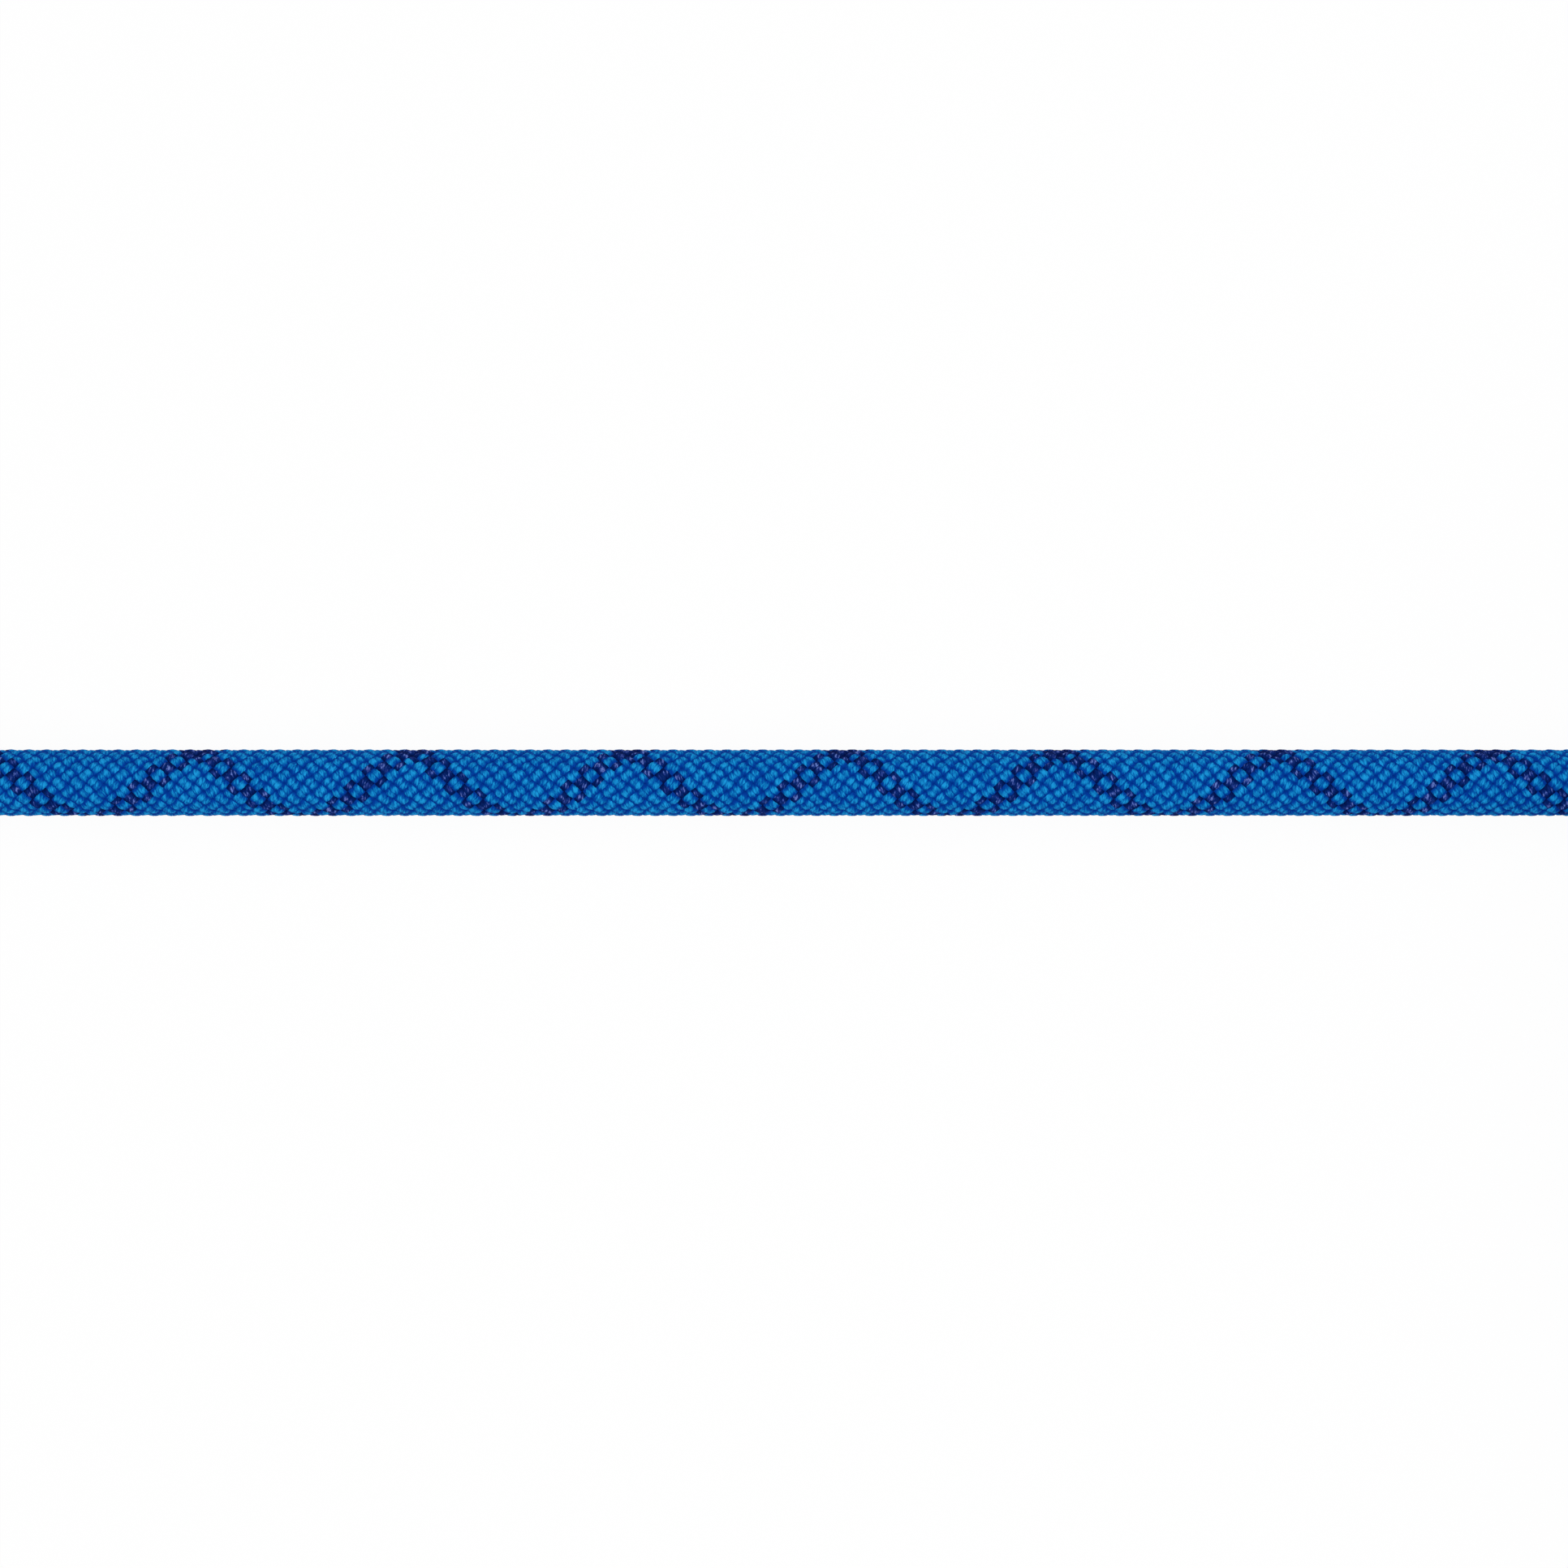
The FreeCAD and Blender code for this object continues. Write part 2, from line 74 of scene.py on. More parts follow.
# The rope's course: free end, straight stretch, and then the hank, in which it lies as it was
# folded. The outer lane is filled from the floor up, the middle one from the top down and the
# inner one from the floor up again, and the far end comes out on top, under the tie.
FREE_END_X = -301.05 * MM
NEAR_FOLD_X = 34.95 * MM
FAR_FOLD_X = 251.95 * MM
WAIST_X = (NEAR_FOLD_X + FAR_FOLD_X) / 2
INNER_FOLD = 25.0 * MM
LANE_STEP = 11.05 * MM
LANES = 3
LAYERS = 10
LAYER_STEP = 10.2 * MM
FOLD_AND_BEND = 97.0 * MM
WAIST_HALF = 20.0 * MM
WAIST_LANE = 5.1 * MM
WAIST_LANE_STEP = 10.85 * MM
WAIST_BOTTOM = 6.3 * MM
WAIST_LAYER_STEP = 10.022 * MM
SLANT = 0.2546
WAIST_POINTS = 2
FOLD_POINTS = 6
FOLD_ARC = (math.pi + 2 * SLANT) / FOLD_POINTS
HALF_TURN = WAIST_POINTS + FOLD_POINTS
TURN_POINTS = 2 * HALF_TURN
TAIL_START_X = 158.0 * MM
TAIL_REST_X = 166.0 * MM
TAIL_END_X = 187.25 * MM
TAIL_Y = 5.2 * MM
TAIL_HEIGHT = 96.8 * MM
TAIL_RISE = 0.3 * MM


def fold_radius(lane):
    """The radius of a fold's centreline in a lane, which may lie between two lanes."""
    return INNER_FOLD + lane * LANE_STEP


def waist_point(side, end, lane, layer):
    """A control point beside the waist, on the +Y or -Y run and its near or far end."""
    bend = FOLD_AND_BEND - fold_radius(lane)
    reach = WAIST_HALF + bend * math.tan(SLANT / 2)
    across = WAIST_LANE + lane * WAIST_LANE_STEP
    height = WAIST_BOTTOM + layer * WAIST_LAYER_STEP
    return (WAIST_X + end * reach, side * across, height)


def fold_point(centre_x, angle, lane, layer):
    """A control point of a fold, at an angle about the fold's centre."""
    radius = fold_radius(lane) / math.cos(FOLD_ARC / 2)
    height = ROPE / 2 + layer * LAYER_STEP
    return (
        centre_x + radius * math.cos(angle),
        radius * math.sin(angle),
        height,
    )


def turn_point(number, lane, layer):
    """Control point 0 to 15 of a turn: +Y waist, far fold, -Y waist, near fold."""
    far_half = number < HALF_TURN
    number %= HALF_TURN
    if number < WAIST_POINTS:
        side = 1 if far_half else -1
        return waist_point(side, side * (2 * number - 1), lane, layer)
    done = (number - WAIST_POINTS + 0.5) * FOLD_ARC
    if far_half:
        return fold_point(FAR_FOLD_X, math.pi / 2 + SLANT - done, lane, layer)
    return fold_point(NEAR_FOLD_X, SLANT - math.pi / 2 - done, lane, layer)


def share(number, first, last):
    """How much of a change that starts at one control point and ends at another is done."""
    return max(0.0, min(1.0, (number - first) / (last - first)))


# Where in a turn each lane changes its layer, and where the rope steps in to the next lane. No
# two of these meet, so nowhere do two stretches of rope share a place.
INNER_CLIMB = (2, 6)
STEP_TO_INNER = (6, 8)
MIDDLE_DESCENT = (8, 9)
STEP_TO_MIDDLE = (8, 11)
OUTER_CLIMB = (10, 13)

top = LAYERS - 1
entry_x = NEAR_FOLD_X + ROPE_Y * math.tan(SLANT / 2)
first_waist_x = waist_point(1, -1, LANES - 1, 0)[0]
course = [
    (FREE_END_X, ROPE_Y, ROPE / 2),
    (2 * entry_x - first_waist_x, ROPE_Y, ROPE / 2),
    (entry_x, ROPE_Y, ROPE / 2),
]
for layer in range(LAYERS):
    for number in range(TURN_POINTS):
        lane, height = LANES - 1, layer
        if layer < top:
            height = layer + share(number, *OUTER_CLIMB)
        else:
            lane -= share(number, *STEP_TO_MIDDLE)
        course.append(turn_point(number, lane, height))
for layer in reversed(range(LAYERS)):
    for number in range(TURN_POINTS):
        lane, height = 1, layer
        if layer > 0:
            height = layer - share(number, *MIDDLE_DESCENT)
        else:
            lane -= share(number, *STEP_TO_INNER)
        course.append(turn_point(number, lane, height))
for layer in range(LAYERS - 1):
    for number in range(TURN_POINTS):
        course.append(turn_point(number, 0, layer + share(number, *INNER_CLIMB)))
course.append(turn_point(0, 0, top))
course += [
    (TAIL_START_X, WAIST_LANE, TAIL_HEIGHT - TAIL_RISE),
    (TAIL_REST_X, TAIL_Y, TAIL_HEIGHT),
    (TAIL_END_X, TAIL_Y, TAIL_HEIGHT),
]

route = bpy.data.curves.new("route", "CURVE")
route.dimensions = "3D"
route.resolution_u = 12
spline = route.splines.new("NURBS")
spline.points.add(len(course) - 1)
for point, place in zip(spline.points, course):
    point.co = (*place, 1.0)
spline.order_u = 3
spline.use_endpoint_u = True
route_object = bpy.data.objects.new("route", route)
bpy.context.scene.collection.objects.link(route_object)
bpy.context.view_layer.update()
line = bpy.data.meshes.new_from_object(route_object)
path = np.array([tuple(v.co) for v in line.vertices])
bpy.data.objects.remove(route_object)

steps = np.linalg.norm(np.diff(path, axis=0), axis=1)
travelled = np.concatenate([[0.0], np.cumsum(steps)])
ROPE_LENGTH = float(travelled[-1])


def course_frames(distances):
    """The centreline at these distances from the free end, with two directions across it that
    turn as little as they can from one to the next."""
    reach = ROPE / 20

    def place(at):
        return np.stack([np.interp(at, travelled, path[:, k]) for k in range(3)], axis=1)

    centres = place(distances)
    ahead = place(distances + reach) - place(distances - reach)
    ahead /= np.linalg.norm(ahead, axis=1)[:, None]
    up = np.empty_like(centres)
    last = np.array([0.0, 0.0, 1.0])
    for k, direction in enumerate(ahead):
        last = last - direction * last.dot(direction)
        last /= np.linalg.norm(last)
        up[k] = last
    return centres, up, np.cross(up, ahead)


# Sheath: 48 nylon yarns, 24 laid each way in pairs, every pair over one pair and under the next.
# All but four neighbouring yarns each way are dyed blue. Those four are navy, and cross a fifth of
# a turn round from the top, towards +Y, and again opposite that place. Each yarn's colour is
# painted with light: a pale painted highlight on top of each float, which on the navy yarns makes
# their pale flecks, and deep painted shade where the yarn dives under.
PITCH = 33.0 * MM
PAIRS = 12
UNDULATION = PITCH / PAIRS
BRAID_MIDDLE = 4.59 * MM
YARN_WAVE = 0.27 * MM
YARN_HALF_WIDTH = 0.54 * MM
YARN_SPREAD = 0.08
YARN_TILT = math.radians(14)
YARN_HALF_THICKNESS = 0.26 * MM
YARN_GIRTH = 2.5 * MM
YARN_SIDES = 8
UNEVEN_PLACE = 0.09 * MM
UNEVEN_WIDTH = 0.07
UNEVEN_LIGHT = 0.22
NOISE_PER_YARN = 7.3
NOISE_PER_WAY = 5.1
RINGS_PER_WAVE = 8
BRAID_LENGTH = 335.5 * MM
SLEEVE_END = 23.6 * MM
SEAT_DEPTH = 0.5 * MM
SEAT_EASE = 2.0 * MM
TRACER_CROSSING = 60.85 * MM
CROSSING_TURN = 0.204
TRACERS = (23, 0, 1, 2)
TUBE_OFFSET = 17
# The yarns' painted light: a painted highlight from this crown height up, stronger on the upper
# side of each yarn, and painted shade below it.
HIGHLIGHT_CROWN = 0.76
CROWN_LIGHT = 1.1
TOP_LIGHT = 0.3
TOP_LEVEL = 0.7


def lofted(name, tubes, along):
    """A mesh of closed tubes. Each is an array of rings, and each ring an array of points. The
    UV map holds the place along the tube and the share of the way round it, which starts at
    another whole number for each tube, so that no two tubes have the same grain."""
    vertices, faces, coordinates = [], [], []
    start = 0
    for number, rings in enumerate(tubes):
        count, sides, _ = rings.shape
        first = start + np.arange(count - 1)[:, None] * sides
        here = np.arange(sides)[None, :]
        after = (here + 1) % sides
        quads = [first + here, first + here + sides, first + after + sides, first + after]
        faces += np.stack(quads, axis=-1).reshape(-1, 4).tolist()
        faces.append(list(range(start, start + sides)))
        faces.append(list(reversed(range(start + (count - 1) * sides, start + count * sides))))
        vertices.append(rings.reshape(-1, 3))
        round_it = number * TUBE_OFFSET + np.arange(sides) / sides
        u, v = np.meshgrid(along[:-1], round_it, indexing="ij")
        next_u = np.meshgrid(along[1:], round_it, indexing="ij")[0]
        next_v = v + 1 / sides
        corners = [(u, v), (next_u, v), (next_u, next_v), (u, next_v)]
        coordinates.append(
            np.stack([np.stack(c, axis=-1) for c in corners], axis=2).reshape(-1, 2)
        )
        coordinates.append(np.tile([along[0], 0.5], (sides, 1)))
        coordinates.append(np.tile([along[-1], 0.5], (sides, 1)))
        start += count * sides
    mesh = bpy.data.meshes.new(name)
    mesh.from_pydata(np.concatenate(vertices).tolist(), [], faces)
    layer = mesh.uv_layers.new(name="along_and_round")
    layer.data.foreach_set("uv", np.concatenate(coordinates).astype(np.float32).ravel())
    mesh.polygons.foreach_set("use_smooth", [True] * len(mesh.polygons))
    return mesh


def put(name, mesh, material):
    """Shows a mesh of yarn or rope as a piece of the object."""
    piece = bpy.data.objects.new(name, mesh)
    bpy.context.scene.collection.objects.link(piece)
    mesh.materials.append(material)
    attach(piece, "root")
    return piece


def linear(code):
    """An sRGB hex colour as the linear colour that a material takes."""
    values = [int(code[k : k + 2], 16) / 255 for k in (1, 3, 5)]
    return tuple(
        v / 12.92 if v <= 0.04045 else ((v + 0.055) / 1.055) ** 2.4 for v in values
    ) + (1.0,)


def blank(name):
    """A material with no nodes in it yet."""
    material = bpy.data.materials.new(name)
    material.use_nodes = True
    material.node_tree.nodes.clear()
    return material


def add(owner, kind, inputs=(), output=0, stops=(), **settings):
    """Adds a node to a material or a world with its settings, its links and a colour ramp's
    stops, and returns one of its outputs. Inputs go in by place, or by name or number from a
    dict, and each is a plain value or the output of another node."""
    node = owner.node_tree.nodes.new(kind)
    for name, value in settings.items():
        setattr(node, name, value)
    for name, value in inputs.items() if isinstance(inputs, dict) else enumerate(inputs):
        if isinstance(value, bpy.types.NodeSocket):
            owner.node_tree.links.new(value, node.inputs[name])
        else:
            node.inputs[name].default_value = value
    for k, (position, code) in enumerate(stops):
        elements = node.color_ramp.elements
        element = elements[k] if k < 2 else elements.new(position)
        element.position, element.color = position, linear(code)
    return node.outputs[output] if node.outputs else node


def seated(distances):
    """How far the sheath is pressed in by the end sleeve, at distances from the free end."""
    past = np.clip((distances - SLEEVE_END) / SEAT_EASE, 0.0, 1.0)
    return SEAT_DEPTH * (1 - past * past * (3 - 2 * past))


def yarn(way, number):
    """The rings of one yarn, and for each of its points how much painted light its colour takes:
    most on top of a float and on the yarn's upper side, as painted highlight, and least where it
    dives under, as painted shade. A slow noise makes its place, width and painted light a little
    uneven."""
    pair, member = divmod(number, 2)
    from_middle = member - 0.5
    offset = from_middle * math.pi / PAIRS
    from_crossing = braid_distances - TRACER_CROSSING
    own_noise = (NOISE_PER_YARN * number, NOISE_PER_WAY * way)
    uneven = np.array(
        [noise.noise((at / UNDULATION, *own_noise)) for at in braid_distances]
    )
    angle = (
        2 * math.pi * CROSSING_TURN
        + 2 * math.pi * pair / PAIRS
        + offset
        + way * 2 * math.pi * from_crossing / PITCH
        + UNEVEN_PLACE / BRAID_MIDDLE * uneven
    )
    beat = 2 * math.pi * from_crossing / UNDULATION + way * PAIRS / 2 * offset
    crown = -way * np.cos(beat)
    radius = BRAID_MIDDLE - seated(braid_distances) + YARN_WAVE * crown
    out = braid_up * np.cos(angle)[:, None] + braid_side * np.sin(angle)[:, None]
    middle = braid_centres + out * radius[:, None]
    along = np.gradient(middle, axis=0)
    along /= np.linalg.norm(along, axis=1)[:, None]
    across = np.cross(along, out)
    across /= np.linalg.norm(across, axis=1)[:, None]
    proud = np.cross(across, along)
    tilt = math.copysign(YARN_TILT, from_middle)
    flat = across * math.cos(tilt) + proud * math.sin(tilt)
    thick = proud * math.cos(tilt) - across * math.sin(tilt)
    half_width = YARN_HALF_WIDTH * (1 + YARN_SPREAD * crown + UNEVEN_WIDTH * uneven)[:, None]
    # Painted light on the yarn: lighter towards the crown of each float, darker where it dives
    # under.
    lit = CROWN_LIGHT * (crown - HIGHLIGHT_CROWN) + UNEVEN_LIGHT * uneven
    rings, light = [], []
    for k in range(YARN_SIDES):
        turn = 2 * math.pi * k / YARN_SIDES
        wide = half_width * math.cos(turn)
        high = YARN_HALF_THICKNESS * math.sin(turn)
        rings.append(middle + flat * wide + thick * high)
        # The upper side of each yarn is painted lighter and the lower side darker.
        light.append(lit + TOP_LIGHT * (math.sin(turn) - TOP_LEVEL))
    return np.stack(rings, axis=1), np.stack(light, axis=1).ravel()


# The yarns' filaments are 0.03 mm thick, too fine to show, and are drawn as clumps of a quarter
# of a millimetre. The yarn's twist turns them further across the rope than the yarn itself runs.
FILAMENT_LEAN = math.radians(33)
CLUMP_LENGTH = 0.85 * MM
CLUMP_WIDTH = 0.23 * MM
BLUE_RAGGEDNESS = 2.1
NAVY_RAGGEDNESS = 2.4
YARN_RUN = math.hypot(1.0, 2 * math.pi * BRAID_MIDDLE / PITCH)
NYLON_IOR = 1.53
MATT_SPECULAR = 0.02
# Colour ramps from painted shade, through the yarn's own blue or navy, to painted highlight. The
# navy's palest stops are its pale flecks, painted as highlights.
BLUE_SHADE_TO_HIGHLIGHT = ((0.04, "#003896"), (0.36, "#004CA5"), (0.60, "#0770B8"), (0.94, "#1C9CE0"))
NAVY_SHADE_TO_HIGHLIGHT = ((0.04, "#00124E"), (0.62, "#02246A"), (0.84, "#263E90"), (1.00, "#667EC6"))


def yarn_material(name, way, shade_to_highlight, raggedness):
    """Nylon yarn, drawn, bulked and dyed: many fine filaments. Its colour is painted with light,
    from the painted light level and the filament clumps: ragged painted highlights on top of each
    float, and deep, smooth painted shade where the yarn dives under."""
    material = blank(name)
    light = add(material, "ShaderNodeAttribute", output="Fac", attribute_name="light")
    uv = add(material, "ShaderNodeUVMap", uv_map="along_and_round")
    along_filaments = add(
        material,
        "ShaderNodeMapping",
        {
            "Vector": uv,
            "Rotation": (0.0, 0.0, -way * FILAMENT_LEAN),
            "Scale": (YARN_RUN, YARN_GIRTH, 1.0),
        },
    )
    clumps = add(
        material,
        "ShaderNodeMapping",
        {"Vector": along_filaments, "Scale": (1 / CLUMP_LENGTH, 1 / CLUMP_WIDTH, 1.0)},
    )
    streaks = add(
        material,
        "ShaderNodeTexNoise",
        {"Vector": clumps, "Scale": 1.0, "Detail": 3.0, "Roughness": 0.6},
    )
    level = add(material, "ShaderNodeMath", (streaks, raggedness, light), operation="MULTIPLY_ADD")
    level = add(material, "ShaderNodeMath", (level, 0.5 - raggedness / 2), operation="ADD")
    colour = add(material, "ShaderNodeValToRGB", (level,), stops=shade_to_highlight)
    bump = add(
        material,
        "ShaderNodeBump",
        {"Height": streaks, "Strength": 0.6, "Distance": 0.12 * MM},
    )
    shader = add(
        material,
        "ShaderNodeBsdfPrincipled",
        {
            "Base Color": colour,
            "Normal": bump,
            "Roughness": 0.7,
            "IOR": NYLON_IOR,
            "Specular IOR Level": MATT_SPECULAR,
        },
    )
    add(material, "ShaderNodeOutputMaterial", (shader,))
    return material


braid_distances = np.linspace(
    0.0, BRAID_LENGTH, round(BRAID_LENGTH / UNDULATION * RINGS_PER_WAVE)
)
braid_centres, braid_up, braid_side = course_frames(braid_distances)
for way, lay in ((1, "s_laid"), (-1, "z_laid")):
    blue = yarn_material(f"blue_nylon_yarn_{lay}", way, BLUE_SHADE_TO_HIGHLIGHT, BLUE_RAGGEDNESS)
    navy = yarn_material(f"navy_nylon_yarn_{lay}", way, NAVY_SHADE_TO_HIGHLIGHT, NAVY_RAGGEDNESS)
    dyed_blue = [n for n in range(2 * PAIRS) if n not in TRACERS]
    half = len(dyed_blue) // 2
    for group_name, group, material in (
        ("blue_1", dyed_blue[:half], blue),
        ("blue_2", dyed_blue[half:], blue),
        ("navy", TRACERS, navy),
    ):
        made = [yarn(way, number) for number in group]
        name = f"sheath_yarns_{lay}_{group_name}"
        mesh = lofted(name, [rings for rings, _ in made], braid_distances)
        light = np.concatenate([light for _, light in made]).astype(np.float32)
        mesh.attributes.new("light", "FLOAT", "POINT").data.foreach_set("value", light)
        piece = put(name, mesh, material)
        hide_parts("sheath")

# Rope in the hank: the same braid, too long to lay yarn by yarn, so its relief and its colours are
# worked out in the material from the place along the rope and round it. Its colours carry the same
# painted light as the yarns: a painted highlight on the pads' tops and painted shade where they
# dip.
RING_SPACING = 4.0 * MM
ROPE_SIDES = 18
LINER_RADIUS = 3.95 * MM
LINER_END = 329.0 * MM
LINER_EASE = 5.0 * MM
LINER_RINGS = 5
STUB_LENGTH = 23.8 * MM
STUB_EASE = 2.0 * MM
STUB_DEPTH = 0.55 * MM
LAST_STRETCH = 29.0 * MM
LAST_RINGS = 15
CROSSING_SHARE = TRACER_CROSSING / PITCH
# The level of painted light that matches the yarns' painted highlight and shade.
HANK_PAINTED_LIGHT_LEVEL = (
    0.5 - BLUE_RAGGEDNESS / 2 - CROWN_LIGHT * HIGHLIGHT_CROWN + (1 - TOP_LEVEL) * TOP_LIGHT
)


def rope_radius(distances):
    """The radius along the rope: under the braid, in the hank and in the right end sleeve."""
    grown = np.clip((distances - LINER_END) / LINER_EASE, 0.0, 1.0)
    radius = LINER_RADIUS + (ROPE / 2 - LINER_RADIUS) * grown * grown * (3 - 2 * grown)
    gripped = np.clip(
        (distances - (ROPE_LENGTH - STUB_LENGTH) + STUB_EASE) / STUB_EASE, 0.0, 1.0
    )
    return radius - STUB_DEPTH * gripped


rope_distances = np.concatenate(
    [
        np.arange(0.0, LINER_END, 4 * RING_SPACING),
        np.linspace(LINER_END, LINER_END + LINER_EASE, LINER_RINGS),
        np.arange(
            LINER_END + LINER_EASE + RING_SPACING, ROPE_LENGTH - LAST_STRETCH - MM, RING_SPACING
        ),
        np.linspace(ROPE_LENGTH - LAST_STRETCH, ROPE_LENGTH, LAST_RINGS),
    ]
)
centres, up, side = course_frames(rope_distances)
radii = rope_radius(rope_distances)
rings = []
for k in range(ROPE_SIDES):
    turn = 2 * math.pi * k / ROPE_SIDES
    out = up * math.cos(turn) + side * math.sin(turn)
    rings.append(centres + out * radii[:, None])
rope_mesh = lofted("rope", [np.stack(rings, axis=1)], rope_distances)

# The same nylon braid seen from further off: pads of two yarns, in relief by a bump, with their
# colour painted lighter on top as a painted highlight and darker where they dip as painted shade.
# A pair's number counts round the rope from where the tracers cross, one count for each way of
# laying.
sheathing = blank("braided_nylon_sheath")
uv = add(sheathing, "ShaderNodeUVMap", uv_map="along_and_round")
u = add(sheathing, "ShaderNodeSeparateXYZ", (uv,), "X")
v = add(sheathing, "ShaderNodeSeparateXYZ", (uv,), "Y")
pitches = add(
    sheathing, "ShaderNodeMath", (u, 1 / PITCH, -CROSSING_SHARE), operation="MULTIPLY_ADD"
)
turn = add(sheathing, "ShaderNodeMath", (v, CROSSING_TURN), operation="SUBTRACT")
s_place = add(sheathing, "ShaderNodeMath", (turn, pitches), operation="SUBTRACT")
s_place = add(sheathing, "ShaderNodeMath", (s_place, PAIRS), operation="MULTIPLY")
z_place = add(sheathing, "ShaderNodeMath", (turn, pitches), operation="ADD")
z_place = add(sheathing, "ShaderNodeMath", (z_place, PAIRS), operation="MULTIPLY")
s_pair = add(sheathing, "ShaderNodeMath", (s_place,), operation="ROUND")
z_pair = add(sheathing, "ShaderNodeMath", (z_place,), operation="ROUND")
in_s = add(sheathing, "ShaderNodeMath", (s_place, s_pair), operation="SUBTRACT")
in_z = add(sheathing, "ShaderNodeMath", (z_place, z_pair), operation="SUBTRACT")
both = add(sheathing, "ShaderNodeMath", (s_pair, z_pair), operation="ADD")
s_on_top = add(sheathing, "ShaderNodeMath", (both, 1.0), operation="PINGPONG")
across = add(sheathing, "ShaderNodeMix", {0: s_on_top, 2: in_z, 3: in_s})
along = add(sheathing, "ShaderNodeMix", {0: s_on_top, 2: in_s, 3: in_z})
humps = add(sheathing, "ShaderNodeMath", (across, 2 * math.pi), operation="MULTIPLY")
humps = add(sheathing, "ShaderNodeMath", (humps,), operation="SINE")
humps = add(sheathing, "ShaderNodeMath", (humps,), operation="ABSOLUTE")
humps = add(sheathing, "ShaderNodeMath", (humps, 0.5), operation="POWER")
arch = add(sheathing, "ShaderNodeMath", (along, math.pi), operation="MULTIPLY")
arch = add(sheathing, "ShaderNodeMath", (arch,), operation="COSINE")
height = add(sheathing, "ShaderNodeMath", (humps, arch), operation="MULTIPLY")
clumps = add(
    sheathing,
    "ShaderNodeMapping",
    {"Vector": uv, "Scale": (1 / CLUMP_WIDTH, math.pi * ROPE / CLUMP_LENGTH, 1.0)},
)
streaks = add(
    sheathing,
    "ShaderNodeTexNoise",
    {"Vector": clumps, "Scale": 1.0, "Detail": 2.0, "Roughness": 0.6},
)
# Painted light: the pads' height sets the colour, a painted highlight on top and painted shade in
# the dips.
level = add(
    sheathing, "ShaderNodeMath", (height, CROWN_LIGHT, HANK_PAINTED_LIGHT_LEVEL), operation="MULTIPLY_ADD"
)
level = add(
    sheathing, "ShaderNodeMath", (streaks, BLUE_RAGGEDNESS, level), operation="MULTIPLY_ADD"
)
blue = add(sheathing, "ShaderNodeValToRGB", (level,), stops=BLUE_SHADE_TO_HIGHLIGHT)
navy = add(sheathing, "ShaderNodeValToRGB", (level,), stops=NAVY_SHADE_TO_HIGHLIGHT)
own = add(sheathing, "ShaderNodeMix", {0: s_on_top, 2: z_place, 3: s_place})
off_tracer = add(sheathing, "ShaderNodeMath", (own, PAIRS / 2, -PAIRS / 2), operation="WRAP")
off_tracer = add(sheathing, "ShaderNodeMath", (off_tracer,), operation="ABSOLUTE")
is_navy = add(sheathing, "ShaderNodeMath", (off_tracer, 1.0), operation="LESS_THAN")
colour = add(
    sheathing, "ShaderNodeMix", {0: is_navy, 6: blue, 7: navy}, output=2, data_type="RGBA"
)
relief = add(
    sheathing, "ShaderNodeBump", {"Height": height, "Strength": 0.8, "Distance": 0.35 * MM}
)
shader = add(
    sheathing,
    "ShaderNodeBsdfPrincipled",
    {
        "Base Color": colour,
        "Normal": relief,
        "Roughness": 0.7,
        "IOR": NYLON_IOR,
        "Specular IOR Level": MATT_SPECULAR,
    },
)
add(sheathing, "ShaderNodeOutputMaterial", (shader,))
rope = put("rope", rope_mesh, sheathing)
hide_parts("hank_outer_turns", "hank_inner_turns")

# Core: twelve strands, each three plies of nylon filament twisted together, half of them one way
# and half the other so that the rope hangs without spinning. They are left undyed.
PLY_LENGTH = 6.0 * MM
PLY_LEAN = math.radians(35)
UNDYED_AND_GROOVE_SHADE = ((0.1, "#B9B6AC"), (0.7, "#F1EFE8"))


def core_material(name, lean):
    """Undyed nylon filament yarn, plied: off-white and slightly lustrous, with the grooves between
    the plies running round the strand. The off-white is painted darker in the grooves, as painted
    shade, and lighter on the plies' tops."""
    material = blank(name)
    place = add(material, "ShaderNodeTexCoord", output="Object")
    turned = add(
        material,
        "ShaderNodeMapping",
        {"Vector": place, "Rotation": (0.0, 0.0, lean), "Scale": (1 / PLY_LENGTH,) * 3},
    )
    plies = add(
        material,
        "ShaderNodeTexWave",
        {"Vector": turned, "Scale": 1.0, "Distortion": 0.4, "Detail": 2.0},
        "Fac",
    )
    # Painted shade: darker in the grooves between the plies.
    colour = add(material, "ShaderNodeValToRGB", (plies,), stops=UNDYED_AND_GROOVE_SHADE)
    bump = add(
        material,
        "ShaderNodeBump",
        {"Height": plies, "Strength": 0.6, "Distance": 0.2 * MM},
    )
    shader = add(
        material,
        "ShaderNodeBsdfPrincipled",
        {"Base Color": colour, "Normal": bump, "Roughness": 0.5, "IOR": NYLON_IOR},
    )
    add(material, "ShaderNodeOutputMaterial", (shader,))
    return material


left_laid = core_material("undyed_nylon_core_left_laid", PLY_LEAN)
right_laid = core_material("undyed_nylon_core_right_laid", -PLY_LEAN)
for name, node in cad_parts.items():
    if name.startswith("core_strand"):
        node.data.materials.clear()
        node.data.materials.append(left_laid if int(name[-1]) % 2 else right_laid)

# Marker tape: a thin polyester film, slit narrow and run in beside the core, here unprinted. It is
# milky, glossy and a little crumpled, and its milky colour is painted a little darker in the
# crumples' hollows, as painted shade.
CREASE_SIZE = 3.0 * MM
MILKY_FILM_AND_CREASE_SHADE = ((0.3, "#DCDCD6"), (0.7, "#EFEFEA"))
film = blank("polyester_film_tape")
place = add(film, "ShaderNodeTexCoord", output="Object")
creases = add(
    film, "ShaderNodeTexNoise", {"Vector": place, "Scale": 1 / CREASE_SIZE, "Detail": 1.0}
)
crumpled = add(
    film, "ShaderNodeBump", {"Height": creases, "Strength": 0.4, "Distance": 0.1 * MM}
)
